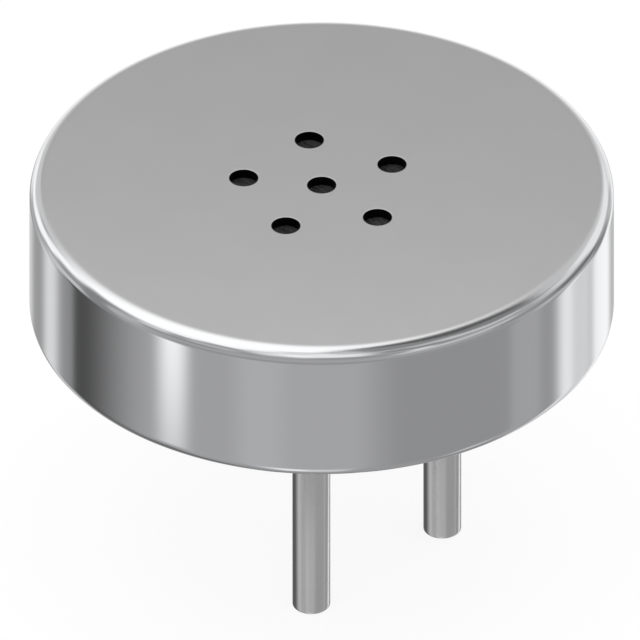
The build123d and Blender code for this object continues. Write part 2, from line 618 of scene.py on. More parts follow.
def draw_grain(sheet: Sheet, given: Sockets) -> Sockets:
    """Fine grain: small bumps, and patches that are a little duller than others.

    Args:
        sheet: the group's nodes.
        given: the group's inputs.

    Returns:
        The group's outputs.
    """
    patches_per_grain, patch_share = 0.06, 0.6
    grains_per_mm = given["Grains per mm"]
    patches_per_mm = sheet.math("MULTIPLY", grains_per_mm, patches_per_grain)
    fine = sheet.noise(given["Place"], grains_per_mm, 3.0)
    patch = sheet.noise(given["Place"], patches_per_mm, 4.0)
    off_middle = sheet.math("SUBTRACT", sheet.blend(patch_share, fine, patch), 0.5)
    shift = sheet.math("MULTIPLY", off_middle, given["Spread"])
    return {
        "Height": fine,
        "Roughness": sheet.math("ADD", given["Roughness"], shift),
        "Patch": sheet.window(patch, 0.35, 0.65),
    }


def draw_lines(sheet: Sheet, given: Sockets) -> Sockets:
    """Fine lines along Z, left by a drawing die, which break off here and there.

    Args:
        sheet: the group's nodes.
        given: the group's inputs.

    Returns:
        The group's outputs.
    """
    stretch, gaps_per_mm, weakest = (1, 1, 0.03), 1.3, 0.35
    long = sheet.vector("MULTIPLY", given["Place"], stretch).outputs[0]
    line = sheet.noise(long, given["Lines per mm"], 2.0)
    gap = sheet.noise(given["Place"], gaps_per_mm, 2.0)
    strength = sheet.window(gap, 0.3, 0.7, weakest, 1.0)
    return {"Height": sheet.blend(strength, 0.5, line)}


GRAIN = Effect(
    "fine_grain",
    {"Place": None, "Grains per mm": 30.0, "Roughness": 0.3, "Spread": 0.1},
    ("Height", "Roughness", "Patch"),
    draw_grain,
)
LINES = Effect("drawn_lines", {"Place": None, "Lines per mm": 30.0}, ("Height",), draw_lines)


@dataclass(frozen=True)
class Finish:
    """A surface with fine grain, whose colour drifts a little from patch to patch."""

    name: str
    colour: Colour
    second_colour: Colour
    roughness: float
    metallic: float = 0.0
    spread: float = 0.12
    grains_per_mm: float = 30.0
    bump_mm: float = 0.0006
    coat: float = 0.0
    coat_roughness: float = 0.1

    def material(self) -> bpy.types.Material:
        """Give the material, which is built once.

        Returns:
            The material.
        """
        known = bpy.data.materials.get(self.name)
        if known:
            return known
        made = bpy.data.materials.new(self.name)
        sheet = Sheet.emptied(made)
        colour, roughness, height = self.pattern(sheet)
        raised = sheet.add("ShaderNodeBump", Distance=self.bump_mm * MM, Strength=1.0, Height=height)
        shader = sheet.add(
            "ShaderNodeBsdfPrincipled",
            Base_Color=colour,
            Roughness=roughness,
            Metallic=self.metallic,
            Coat_Weight=self.coat,
            Coat_Roughness=self.coat_roughness,
            Normal=raised.outputs["Normal"],
        )
        sheet.add("ShaderNodeOutputMaterial", Surface=shader.outputs["BSDF"])
        return made

    def pattern(self, sheet: Sheet) -> Looks:
        """Draw what varies over the surface.

        Args:
            sheet: the material's nodes.

        Returns:
            Colour, roughness and height, where a height of 1 stands bump_mm proud of 0.
        """
        return self.grained(sheet, sheet.place(), self.roughness)

    def grained(self, sheet: Sheet, place: Socket, roughness: object) -> Looks:
        """Place the shared grain with this finish's own values.

        Args:
            sheet: the material's nodes.
            place: the place on the piece.
            roughness: the roughness that the grain varies.

        Returns:
            Colour, roughness and height.
        """
        grain = GRAIN.use(
            sheet,
            Place=place,
            Grains_per_mm=self.grains_per_mm,
            Roughness=roughness,
            Spread=self.spread,
        ).outputs
        colour = sheet.blend_colour(grain["Patch"], self.colour, self.second_colour)
        return colour, grain["Roughness"], grain["Height"]


@dataclass(frozen=True)
class DrawnSheetFinish(Finish):
    """Sheet metal that is satin on its face and burnished by the die on its wall, with painted shade in
    its sound holes.
    """

    wall_colour: Colour = (0.596, 0.6, 0.612)
    wall_roughness: float = 0.12
    wall_starts: float = 2.84
    wall_is_full: float = 2.95
    lines_per_mm: float = 22.0
    line_depth: float = 0.5
    holes: tuple[Pair, ...] = ()
    hole_radius: float = 0.0
    # The hole walls and a thin ring of the face round each hole get painted shade: their colour is
    # darkened to stand for the shade inside the holes.
    hole_blur: float = 0.0025
    painted_hole_shade: float = 0.05

    def pattern(self, sheet: Sheet) -> Looks:
        """Draw the face, the wall and the change from one to the other, and the painted shade on the hole
        walls and just round their edges.

        Args:
            sheet: the material's nodes.

        Returns:
            Colour, roughness and height.
        """
        place = sheet.place()
        flat = sheet.vector("MULTIPLY", place, (1, 1, 0)).outputs[0]
        from_axis = sheet.vector("LENGTH", flat).outputs["Value"]
        wall = sheet.window(from_axis, self.wall_starts, self.wall_is_full)
        plain_roughness = sheet.blend(wall, self.roughness, self.wall_roughness)
        face, roughness, grain = self.grained(sheet, place, plain_roughness)
        lines = LINES.use(sheet, Place=place, Lines_per_mm=self.lines_per_mm)
        streak = sheet.math("MULTIPLY", lines.outputs["Height"], self.line_depth)
        outside = sheet.blend_colour(wall, face, self.wall_colour)
        # Painted shade: the colour goes nearly black over each hole's wall and a little past its edge.
        edge = self.hole_radius + self.hole_blur
        inside = sheet.discs(flat, self.holes, edge, edge + self.hole_blur)
        dark = tuple(part * self.painted_hole_shade for part in self.colour)
        return sheet.blend_colour(inside, outside, dark), roughness, sheet.blend(wall, grain, streak)


@dataclass(frozen=True)
class WireFinish(Finish):
    """Tinned wire, with the die's fine lines along it."""

    lines_per_mm: float = 40.0
    grain_share: float = 0.35

    def pattern(self, sheet: Sheet) -> Looks:
        """Draw the lines over the grain.

        Args:
            sheet: the material's nodes.

        Returns:
            Colour, roughness and height.
        """
        place = sheet.place()
        colour, roughness, grain = self.grained(sheet, place, self.roughness)
        lines = LINES.use(sheet, Place=place, Lines_per_mm=self.lines_per_mm)
        return colour, roughness, sheet.blend(self.grain_share, lines.outputs["Height"], grain)


@dataclass(frozen=True)
class MaskedBoardFinish(Finish):
    """Glass-epoxy board under solder mask, with a bare border round each pad."""

    bare: Colour = (0.32, 0.30, 0.16)
    bare_roughness: float = 0.6
    pads: tuple[Pair, ...] = ()
    border_radius: float = 0.5
    border_blur: float = 0.012
    weave_per_mm: float = 5.0
    weave_height: float = 0.35
    grain_height: float = 0.4

    def pattern(self, sheet: Sheet) -> Looks:
        """Draw the mask, the weave under it and the bare borders.

        Args:
            sheet: the material's nodes.

        Returns:
            Colour, roughness and height.
        """
        place = sheet.place()
        masked, roughness, grain = self.grained(sheet, place, self.roughness)
        axes = sheet.add("ShaderNodeSeparateXYZ", Vector=place)
        turns = 2 * math.pi * self.weave_per_mm
        waves = [sheet.math("SINE", sheet.math("MULTIPLY", axes.outputs[i], turns)) for i in range(2)]
        weave = sheet.math("MULTIPLY", sheet.math("MULTIPLY", *waves), self.weave_height)
        height = sheet.math("ADD", sheet.math("MULTIPLY", grain, self.grain_height), weave)
        flat = sheet.vector("MULTIPLY", place, (1, 1, 0)).outputs[0]
        edge, blur = self.border_radius, self.border_blur
        bare = sheet.discs(flat, self.pads, edge - blur, edge + blur)
        colour = sheet.blend_colour(bare, masked, self.bare)
        return colour, sheet.blend(bare, roughness, self.bare_roughness), height


@dataclass(frozen=True)
class FibreFinish(Finish):
    """Non-woven cloth: fibres laid every way, matted together."""

    fibres_per_mm: float = 26.0
    turns: tuple[float, ...] = (0.2, 1.3, 2.4)
    stretch: float = 0.12
    curl: float = 0.6
    half_width: float = 0.09

    def pattern(self, sheet: Sheet) -> Looks:
        """Draw a layer of fibres for each turn.

        Args:
            sheet: the material's nodes.

        Returns:
            Colour, roughness and height.
        """
        place = sheet.place()
        height: object = 0.0
        for turn in self.turns:
            turned = sheet.add(
                "ShaderNodeMapping",
                Vector=place,
                Rotation=(0, 0, turn),
                Scale=(1, self.stretch, 1),
            )
            layer = sheet.noise(turned.outputs[0], self.fibres_per_mm, 2.0, self.curl)
            off_middle = sheet.math("ABSOLUTE", sheet.math("SUBTRACT", layer, 0.5))
            fibre = sheet.window(off_middle, self.half_width, 0.0)
            height = sheet.math("MAXIMUM", height, fibre)
        colour = sheet.blend_colour(height, self.second_colour, self.colour)
        return colour, self.roughness, height


@dataclass(frozen=True)
class Finishes:
    """Every finish of the capsule."""

    cup: DrawnSheetFinish = DrawnSheetFinish(
        "cup_aluminium", (0.60, 0.60, 0.60), (0.59, 0.59, 0.59), 0.26, 1.0, spread=0.015, bump_mm=0.0002
    )
    pin: Finish = WireFinish(
        "tinned_wire", (0.65, 0.65, 0.658), (0.635, 0.635, 0.643), 0.2, 1.0, spread=0.06, bump_mm=0.0003
    )
    solder: Finish = Finish(
        "bright_solder", (0.66, 0.66, 0.68), (0.56, 0.56, 0.58), 0.2, 1.0, bump_mm=0.0015, grains_per_mm=45
    )
    copper: Finish = Finish(
        "flashed_copper", (0.76, 0.60, 0.32), (0.70, 0.52, 0.27), 0.28, 1.0, grains_per_mm=40.0
    )
    board: MaskedBoardFinish = MaskedBoardFinish(
        "masked_board", (0.012, 0.10, 0.036), (0.016, 0.125, 0.045), 0.32, bump_mm=0.002, coat=0.4
    )
    cloth: Finish = FibreFinish(
        "black_fleece", (0.05, 0.05, 0.05), (0.012, 0.012, 0.012), 0.95, bump_mm=0.012
    )
    film: Finish = Finish(
        "metallised_film", (0.70, 0.70, 0.72), (0.66, 0.66, 0.69), 0.12, 1.0, spread=0.05, bump_mm=0.0002
    )
    brass: Finish = Finish(
        "stamped_brass", (0.72, 0.55, 0.28), (0.63, 0.46, 0.22), 0.3, 1.0, bump_mm=0.0008
    )
    insulator: Finish = Finish(
        "moulded_insulator", (0.82, 0.81, 0.75), (0.76, 0.75, 0.68), 0.5, bump_mm=0.002
    )
    moulding: Finish = Finish(
        "moulding_compound", (0.028, 0.028, 0.03), (0.04, 0.04, 0.043), 0.62, bump_mm=0.004
    )
    ceramic: Finish = Finish(
        "fired_ceramic", (0.42, 0.28, 0.17), (0.36, 0.23, 0.13), 0.45, bump_mm=0.002
    )
    lead: Finish = Finish("tinned_lead", (0.68, 0.68, 0.69), (0.58, 0.58, 0.6), 0.3, 1.0, bump_mm=0.001)


@dataclass
class Cup:
    """The drawn aluminium cup: face with sound holes, shoulder, wall and rolled rear lip."""

    finish: DrawnSheetFinish
    span: Span = field(default_factory=lambda: Span.of("case"))
    sheet: float = 0.10
    shoulder_radius: float = 0.15
    shoulder_steps: int = 12
    fold_radius: float = 0.12
    fold_steps: int = 8
    lip_radius: float = 2.55
    hole_radius: float = 0.1475
    hole_ring_radius: float = 0.81
    ring_holes: int = 5
    first_hole_angle: float = -90.0
    punched_edge: float = 0.004
    round_steps: int = 288
    hole_steps: int = 64
    support: float = 0.02

    def build(self) -> None:
        """Shape the shell, give it its sheet's thickness and punch the holes."""
        radius, height = self.span.radius, self.span.high.z
        cup = Blank.cylinder(radius, 0, height, self.round_steps)
        cup.inset_faces(lambda middle, normal: normal.z < -LEVEL, radius - self.lip_radius, remove=True)
        cup.bevel_edges(lambda a, b: self.on_rim(a, b, height), self.shoulder_radius, self.shoulder_steps)
        cup.bevel_edges(lambda a, b: self.on_rim(a, b, 0), self.fold_radius, self.fold_steps)
        cup.inset_faces(lambda middle, normal: normal.z > LEVEL, self.support)
        cup.slice_at((self.fold_radius + self.support, height - self.shoulder_radius - self.support))
        cup.modify("SOLIDIFY", thickness=self.sheet, offset=-1, use_even_offset=True)
        holes = self.hole_places()
        for centre in holes:
            cup.cut_round(self.hole_radius, height - self.sheet, height, self.hole_steps, centre)
        cup.soften_edges(self.punched_edge)
        cup.border_flats(self.support)
        # The holes' places also lay the finish's painted shade in them.
        pierced = replace(self.finish, holes=holes, hole_radius=self.hole_radius)
        cup.finish("drawn_cup", "case_aluminium", pierced.material(), "case")

    def on_rim(self, a: Vector, b: Vector, height: float) -> bool:
        """Say whether an edge lies on the outer rim at a height.

        Args:
            a: one end of the edge.
            b: the other end.
            height: height of the rim.

        Returns:
            True for an edge of the rim.
        """
        return all(
            abs(end.z - height) < NEAR and abs(end.xy.length - self.span.radius) < NEAR for end in (a, b)
        )

    def hole_places(self) -> tuple[Pair, ...]:
        """Work out the middle of each sound hole: one on the axis and a ring round it.

        Returns:
            The middles.
        """
        places = [(0.0, 0.0)]
        for number in range(self.ring_holes):
            angle = math.radians(self.first_hole_angle + 360 * number / self.ring_holes)
            x, y = math.cos(angle), math.sin(angle)
            places.append((self.hole_ring_radius * x, self.hole_ring_radius * y))
        return tuple(places)


class Side(Enum):
    """The sides of the board that a pin is soldered on."""

    REAR = "rear"
    INNER = "inner"


@dataclass
class Terminals:
    """The two solder pins, with the solder that holds each one on both sides of the board."""

    pin_finish: Finish
    solder_finish: Finish
    tail_half_side: float = 0.0955
    tail_edge: float = 0.006
    flat_border: float = 0.01
    tip_radius: float = 0.022
    tip_steps: int = 4
    sunk: float = 0.004
    pin_steps: int = 72
    arc_steps: int = 8

    def build(self) -> None:
        """Make both pins with their solder."""
        for name in ("output", "ground"):
            self.build_pin(name)
            for side in Side:
                self.build_solder(name, side)

    def build_pin(self, name: str) -> None:
        """Make a round shank with a rounded tip and fuse the square tail to it.

        Args:
            name: which pin.
        """
        span = Span.of(f"{name}_pin")
        shank_top = Span.of("rear_output_pad").low.z
        x, y = span.centre
        pin = Blank.cylinder(span.radius, span.low.z, shank_top, self.pin_steps, span.centre)
        pin.bevel_edges(lambda a, b: max(a.z, b.z) < span.low.z + NEAR, self.tip_radius, self.tip_steps)
        pin.slice_at((span.low.z + 2 * self.tip_radius,))
        half = self.tail_half_side
        tail = Blank.box((x - half, y - half, shank_top - half), (x + half, y + half, span.high.z))
        pin.merge(tail, Merge.FUSE)
        pin.soften_edges(self.tail_edge)
        pin.border_flats(self.flat_border)
        pin.finish(f"{name}_terminal", "pin_metal", self.pin_finish.material(), f"{name}_pin")

    def build_solder(self, name: str, side: Side) -> None:
        """Make the solder that climbs from the copper to a pin's shank, or to its square tail inside.

        Args:
            name: which pin.
            side: side of the board that it lies on.
        """
        node = f"{name}_{side.value}_solder"
        span = Span.of(node)
        if side is Side.REAR:
            shank = Span.of(f"{name}_pin").radius
            outline = self.meniscus(shank, span.radius, span.low.z, span.high.z)
        else:
            tail = self.tail_half_side * 2**0.5
            outline = self.meniscus(tail, span.radius, span.high.z, span.low.z)
        solder = Blank.turned(outline, self.pin_steps, span.centre)
        solder.finish(f"{name}_{side.value}_fillet", "solder", self.solder_finish.material(), node)

    def meniscus(self, neck: float, foot: float, neck_height: float, foot_height: float) -> Outline:
        """Outline of solder that wets a pad and a pin: hollow, and steeper towards the pin.

        Args:
            neck: radius where it meets the pin.
            foot: radius where it meets the pad.
            neck_height: height at the pin.
            foot_height: height at the pad.

        Returns:
            The closed outline, which reaches a little into the pin.
        """
        inner = neck - self.sunk
        points = [(inner, foot_height), (foot, foot_height)]
        for number in range(1, self.arc_steps + 1):
            share = number / self.arc_steps
            angle = math.pi / 2 * share
            hollow = (
                foot - (foot - neck) * math.sin(angle),
                neck_height + (foot_height - neck_height) * math.cos(angle),
            )
            flank = (foot + (neck - foot) * share, foot_height + (neck_height - foot_height) * share)
            points.append(tuple((h + f) / 2 for h, f in zip(hollow, flank)))
        points.append((inner, neck_height))
        return points


@dataclass
class RearBoard:
    """The board that closes the cup, with the copper on its outer side."""

    board_finish: MaskedBoardFinish
    copper_finish: Finish
    hole_radius: float = 0.155
    pad_radius: float = 0.45
    ring_inner_radius: float = 2.39
    bridge_width: float = 0.36
    edge: float = 0.006
    border: float = 0.01
    round_steps: int = 192
    pad_steps: int = 96
    hole_steps: int = 48

    def build(self) -> None:
        """Make the board, the output pad and the ground copper."""
        self.build_board()
        self.build_output_pad()
        self.build_ground_copper()

    def drill(self, plate: Blank, span: Span, *places: Pair) -> None:
        """Drill a plate for the pins' tails, and soften its edges.

        Args:
            plate: the plate's blank.
            span: its box, which the drill goes right through.
            places: where the holes go.
        """
        for centre in places:
            plate.cut_round(self.hole_radius, span.low.z, span.high.z, self.hole_steps, centre)
        plate.soften_edges(self.edge)
        plate.border_flats(self.border)

    def build_board(self) -> None:
        """Make the round board with both pin holes."""
        span = Span.of("circuit_board")
        places = tuple(Span.of(pin).centre for pin in PINS)
        board = Blank.cylinder(span.radius, span.low.z, span.high.z, self.round_steps)
        self.drill(board, span, *places)
        masked = replace(self.board_finish, pads=places)
        board.finish("masked_circuit_board", "board", masked.material(), "circuit_board")

    def build_output_pad(self) -> None:
        """Make the round pad of the output pin."""
        span = Span.of("rear_output_pad")
        pad = Blank.cylinder(span.radius, span.low.z, span.high.z, self.pad_steps, span.centre)
        self.drill(pad, span, span.centre)
        pad.finish("output_pad", "copper", self.copper_finish.material(), "rear_output_pad")

    def build_ground_copper(self) -> None:
        """Make the ring under the lip, the ground pad and the bridge between them."""
        span = Span.of("rear_ground_copper")
        low, high = span.low.z, span.high.z
        x, y = place = Span.of("ground_pin").centre
        ring = Blank.cylinder(span.radius, low, high, self.round_steps)
        ring.cut_round(self.ring_inner_radius, low, high, self.round_steps)
        reach = (self.ring_inner_radius + span.radius) / 2
        half = self.bridge_width / 2
        bridge = Blank.box((math.hypot(x, y), -half, low), (reach, half, high))
        bridge.object.rotation_euler.z = math.atan2(y, x)
        bridge.apply_place()
        ring.merge(bridge, Merge.FUSE)
        ring.merge(Blank.cylinder(self.pad_radius, low, high, self.pad_steps, place), Merge.FUSE)
        self.drill(ring, span, place)
        ring.finish("ground_copper", "copper", self.copper_finish.material(), "rear_ground_copper")


@dataclass
class DustCloth:
    """The black cloth against the inside of the face, which shows through the sound holes."""

    finish: Finish
    cells: int = 96
    ruffle: float = 0.004
    unevenness: float = 0.6
    seed: int = 5
    fray: float = 0.01

    def build(self) -> None:
        """Make a disc with a finely divided upper side and ruffle it."""
        span = Span.of("dust_cloth")
        radius, low, high = span.radius - self.fray, span.low.z, span.high.z - 2 * self.ruffle
        cloth = Blank.box((-radius, -radius, low), (radius, radius, high))
        with cloth.editing(Element.FACE) as mesh:
            for face in mesh.faces:
                face.select_set(face.normal.z > LEVEL)
            bpy.ops.mesh.subdivide(number_cuts=self.cells)
        cloth.merge(Blank.cylinder(radius, low - OVERSHOOT, high + OVERSHOOT, self.cells), Merge.KEEP)
        with cloth.editing(Element.VERTEX) as mesh:
            for corner in mesh.verts:
                inside = corner.co.xy.length < radius - self.fray
                corner.select_set(inside and corner.co.z > high - NEAR)
            bpy.ops.transform.vertex_random(
                offset=self.ruffle, uniform=self.unevenness, normal=0.0, seed=self.seed
            )
        cloth.finish("fleece_disc", "cloth", self.finish.material(), "dust_cloth")


@dataclass
class SealedPieces:
    """The pieces that keep their CAD shape, because the cup and the board hide them."""

    finishes: Finishes

    def dress(self) -> None:
        """Give each of these nodes its finish."""
        caps = tuple(f"capacitor_{number}_{end}_cap" for number in (1, 2) for end in ("output", "ground"))
        worn = {
            self.finishes.brass: ("diaphragm_ring", "back_plate", "gate_ring"),
            self.finishes.film: ("diaphragm", "electret_film"),
            self.finishes.insulator: ("spacer_ring", "chamber_ring"),
            self.finishes.copper: ("gate_track", "output_track", "ground_track"),
            self.finishes.moulding: ("transistor_body",),
            self.finishes.ceramic: ("capacitor_1_body", "capacitor_2_body"),
            self.finishes.lead: ("gate_lead", "drain_lead", "source_lead", *caps),
        }
        for finish, nodes in worn.items():
            for name in nodes:
                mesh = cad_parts[name].data
                mesh.materials.clear()
                mesh.materials.append(finish.material())
                LOG.info("%s: CAD shape in %s", name, finish.name)


class Heading(Enum):
    """The two angles that give a direction round the capsule."""

    BEARING = "bearing"
    ELEVATION = "elevation"


@dataclass
class Sky:
    """The directions round the capsule in the world's nodes.

    Cards share many of their edges and bands, so each is drawn once.
    """

    sheet: Sheet
    angles: dict[Heading, Socket]
    drawn: dict[tuple, Socket] = field(default_factory=dict)

    def edge(self, heading: Heading, start: float, end: float) -> Socket:
        """Give a soft edge, which is 0 at its start and 1 at its end.

        Args:
            heading: the angle that it follows.
            start: where it starts, in degrees.
            end: where it ends, in degrees.

        Returns:
            The edge.
        """
        key = (heading, start, end)
        if key not in self.drawn:
            self.drawn[key] = self.sheet.window(self.angles[heading], start, end)
        return self.drawn[key]

    def band(self, low: float, high: float, fade: float) -> Socket:
        """Give a level band with soft edges.

        Args:
            low: elevation of its lower end.
            high: elevation of its upper end.
            fade: width of the fades outside both.

        Returns:
            The band.
        """
        key = (low, high, fade)
        if key not in self.drawn:
            lower = self.edge(Heading.ELEVATION, low - fade, low)
            upper = self.edge(Heading.ELEVATION, high + fade, high)
            self.drawn[key] = self.sheet.math("MULTIPLY", lower, upper)
        return self.drawn[key]


@dataclass(frozen=True)
class Card:
    """A light or dark card round the capsule, which only gloss shows.

    Bearings are in degrees seen from above: 0 is straight behind the capsule, 90 on the camera's
    left, 180 at the camera and 270 on its right. The glow fades in before the card's start and
    out after its end, and above and below it. A card with no fade on one side goes on past the
    bearing of 0 there.
    """

    start: float
    end: float
    glow: float
    fade_in: float
    fade_out: float
    low: float = -46.0
    high: float = -30.0
    fade: float = 10.0

    def lay(self, sky: Sky, glow: object) -> Socket:
        """Lay the card over the light so far.

        Args:
            sky: the directions round the capsule.
            glow: the light so far.

        Returns:
            The light with the card in it.
        """
        mask = sky.band(self.low, self.high, self.fade)
        if self.fade_in:
            begin = sky.edge(Heading.BEARING, self.start - self.fade_in, self.start)
            mask = sky.sheet.math("MULTIPLY", mask, begin)
        if self.fade_out:
            finish = sky.edge(Heading.BEARING, self.end + self.fade_out, self.end)
            mask = sky.sheet.math("MULTIPLY", mask, finish)
        return sky.sheet.blend(mask, glow, self.glow)


@dataclass
class Surroundings:
    """The room and its cards, far away, as the capsule's metal shows them.

    The cards are grouped by what shows them: all metal seen at a glancing angle shows those behind
    the capsule, and the wall, the shoulder and the fold at the wall's foot each show their own.
    They were set against the photograph's greys, traced back along the reflection, so
    they are tuned to that one view.
    """

    room_glow: float = 0.56
    behind: tuple[Card, ...] = (
        Card(0, 30, 0.72, 0, 8),
        Card(330, 360, 0.57, 8, 0),
        Card(0, 34, 0.82, 0, 12, low=-10, high=18, fade=9),
        Card(322, 360, 0.82, 12, 0, low=-10, high=18, fade=9),
        Card(0, 80, 0.5, 0, 20, low=34, high=40, fade=8),
        Card(250, 360, 0.5, 20, 0, low=34, high=40, fade=8),
        Card(0, 30, 1.2, 0, 8, low=-20, high=4, fade=9),
        Card(328, 360, 1.2, 8, 0, low=-20, high=4, fade=9),
    )
    for_wall: tuple[Card, ...] = (
        Card(24, 31, 0.42, 12, 6, high=-26),
        Card(42, 46, 1.02, 8, 8, high=-24),
        Card(58, 62, 0.4, 7, 6),
        Card(66, 68, 0.1, 5, 44, high=-32, fade=8),
        Card(152, 164, 0.66, 12, 12),
        Card(171, 192, 0.6, 12, 10),
        Card(214, 258, 0.44, 20, 7),
        Card(264, 270, 0.56, 5, 8),
        Card(280, 284, 0.45, 6, 3),
        Card(292, 309, 0.95, 8, 9, high=-28, fade=8),
        Card(293, 295, 1.26, 6, 6, high=-28, fade=8),
        Card(320, 333, 1.28, 8, 12, high=-26),
        Card(347, 355, 0.56, 5, 8),
    )
    for_shoulder: tuple[Card, ...] = (
        Card(84, 94, 0.36, 6, 6, low=-24, high=20, fade=6),
        Card(60, 78, 0.85, 6, 6, low=-22, high=-8, fade=6),
        Card(72, 80, 0.44, 6, 6, low=-4, high=2, fade=4),
        Card(130, 215, 0.45, 12, 8, low=16, high=23, fade=5),
        Card(130, 250, 0.45, 12, 10, low=-22, high=-14, fade=5),
        Card(211, 252, 0.86, 8, 8, low=9, high=16, fade=4),
        Card(275, 282, 0.8, 12, 6, low=16, high=30, fade=5),
        Card(272, 298, 0.26, 8, 10, low=-6, high=6, fade=4),
        Card(304, 311, 0.34, 5, 6, low=-22, high=-10, fade=6),
        Card(250, 272, 0.42, 8, 8, low=-6, high=4, fade=5),
        Card(42, 50, 1.45, 7, 8, low=-1, high=6, fade=6),
        Card(28, 37, 1.5, 6, 6, low=0, high=8, fade=5),
        Card(20, 36, 0.9, 8, 6, low=18, high=32, fade=7),
        Card(52, 70, 1.35, 9, 14, low=20, high=28, fade=9),
        Card(46, 60, 1.55, 12, 8, low=8, high=16, fade=8),
        Card(284, 300, 1.02, 8, 6, low=19, high=32, fade=5),
        Card(303, 322, 1.28, 10, 10, low=10, high=36, fade=8),
        Card(330, 342, 0.86, 6, 8, low=28, high=40, fade=5),
        Card(327, 335, 1.28, 6, 8, low=17, high=28, fade=6),
        Card(84, 112, 1.2, 6, 10, low=32, high=50, fade=9),
        Card(200, 240, 0.74, 10, 10, low=42, high=50, fade=6),
        Card(292, 340, 0.85, 12, 12, low=40, high=52, fade=6),
        Card(118, 152, 1.6, 8, 8, low=46, high=66, fade=6),
        Card(160, 194, 1.3, 14, 10, low=34, high=62, fade=6),
        Card(196, 322, 0.38, 14, 14, low=57, high=90, fade=5),
        Card(269, 318, 0.15, 16, 12, low=54, high=90, fade=5),
        Card(272, 290, 0.2, 10, 12, low=50, high=56, fade=5),
        Card(250, 264, 0.33, 6, 8, low=50, high=60, fade=4),
        Card(262, 282, 0.34, 8, 6, low=43, high=60, fade=4),
        Card(192, 200, 0.85, 5, 7, low=56, high=76, fade=6),
        Card(234, 246, 0.9, 8, 8, low=38, high=43, fade=4),
        Card(248, 262, 0.92, 8, 8, low=33, high=37, fade=4),
        Card(208, 216, 0.38, 6, 4, low=37, high=46, fade=4),
        Card(218, 226, 0.34, 4, 6, low=34, high=39, fade=3),
        Card(226, 231, 0.38, 4, 5, low=27, high=34, fade=3),
        Card(215, 220, 1.25, 4, 4, low=20, high=23, fade=4),
        Card(272, 284, 0.75, 8, 8, low=-24, high=-17, fade=4),
        Card(316, 323, 0.7, 5, 6, low=-5, high=5, fade=6),
        Card(56, 70, 1.55, 6, 10, low=24, high=32, fade=5),
        Card(36, 44, 0.6, 5, 6, low=-28, high=-14, fade=5),
        Card(52, 60, 0.85, 5, 5, low=-28, high=-22, fade=5),
        Card(104, 124, 1.5, 6, 10, low=36, high=46, fade=5),
        Card(110, 118, 0.95, 6, 5, low=16, high=28, fade=5),
        Card(131, 144, 0.78, 5, 8, low=19, high=23, fade=4),
        Card(114, 138, 0.42, 5, 8, low=6, high=10, fade=4),
        Card(148, 158, 1.02, 5, 5, low=42, high=50, fade=5),
        Card(168, 173, 1.55, 4, 5, low=34, high=41, fade=5),
        Card(160, 174, 0.75, 8, 6, low=22, high=27, fade=4),
        Card(162, 172, 1.05, 5, 5, low=53, high=59, fade=4),
        Card(98, 108, 0.68, 5, 6, low=-8, high=12, fade=5),
        Card(84, 96, 0.48, 6, 6, low=22, high=26, fade=4),
        Card(309, 330, 0.85, 5, 10, low=48, high=53, fade=3),
    )
    for_fold: tuple[Card, ...] = (
        Card(0, 360, 0.5, 0, 0, low=-90, high=-56, fade=8),
        Card(52, 100, 0.22, 10, 16, low=-74, high=-54, fade=8),
        Card(156, 188, 0.95, 12, 10, low=-68, high=-50, fade=6),
        Card(226, 300, 0.46, 10, 14, low=-68, high=-56, fade=8),
        Card(312, 345, 0.68, 12, 12, low=-68, high=-54, fade=6),
        Card(16, 56, 0.3, 8, 12, low=-67, high=-60, fade=4),
        Card(296, 316, 0.3, 10, 10, low=-70, high=-62, fade=5),
        Card(160, 168, 1.35, 6, 8, low=-66, high=-52, fade=5),
        Card(248, 258, 0.85, 6, 8, low=-57, high=-48, fade=6),
        Card(54, 84, 0.24, 10, 10, low=-56, high=-50, fade=7),
        Card(306, 342, 0.85, 12, 6, low=-56, high=-48, fade=6),
        Card(0, 34, 0.35, 0, 12, low=-80, high=-58, fade=6),
        Card(330, 360, 0.35, 10, 0, low=-80, high=-58, fade=6),
    )

    def build(self) -> None:
        """Make the world: white to the camera, even for shade, with its cards for gloss."""
        world = bpy.data.worlds.new("card_room")
        sheet = Sheet.emptied(world)
        source = sheet.add("ShaderNodeTexCoord")
        turned = sheet.add(
            "ShaderNodeMapping",
            Vector=source.outputs["Generated"],
            Rotation=(0, 0, -math.radians(CAMERA_BEARING)),
        )
        axes = sheet.add("ShaderNodeSeparateXYZ", Vector=turned.outputs[0])
        elevation = sheet.math("DEGREES", sheet.math("ARCSINE", axes.outputs["Z"]))
        turn = sheet.math("ARCTAN2", axes.outputs["Y"], axes.outputs["X"])
        bearing = sheet.math("ADD", sheet.math("DEGREES", turn), 180.0)
        sky = Sky(sheet, {Heading.BEARING: bearing, Heading.ELEVATION: elevation})
        glow: object = self.room_glow
        for card in self.behind + self.for_wall + self.for_shoulder + self.for_fold:
            glow = card.lay(sky, glow)
        ray = sheet.add("ShaderNodeLightPath")
        strength = sheet.blend(ray.outputs["Is Glossy Ray"], 1.0, glow)
        light = sheet.add("ShaderNodeBackground", Color=(1, 1, 1, 1), Strength=strength)
        sheet.add("ShaderNodeOutputWorld", Surface=light.outputs[0])
        world.cycles.sampling_method = "NONE"
        bpy.context.scene.world = world


@dataclass(frozen=True)
class Reach:
    """How far a panel's light goes in one direction, in millimetres from the panel's origin."""

    low: float
    high: float
    soft_low: float
    soft_high: float
    slow_start: float = 1.0

    def mask(self, sheet: Sheet, low_value: object, high_value: object) -> Socket:
        """Draw where the light is.

        Args:
            sheet: the panel's nodes.
            low_value: place on the panel that the low end is measured by.
            high_value: place on the panel that the high end is measured by.

        Returns:
            1 inside the panel, 0 outside, and a soft change between them.
        """
        start = sheet.window(low_value, self.low, self.low + self.soft_low)
        stop = sheet.window(high_value, self.high, self.high - self.soft_high)
        return sheet.math("MULTIPLY", sheet.math("POWER", start, self.slow_start), stop)


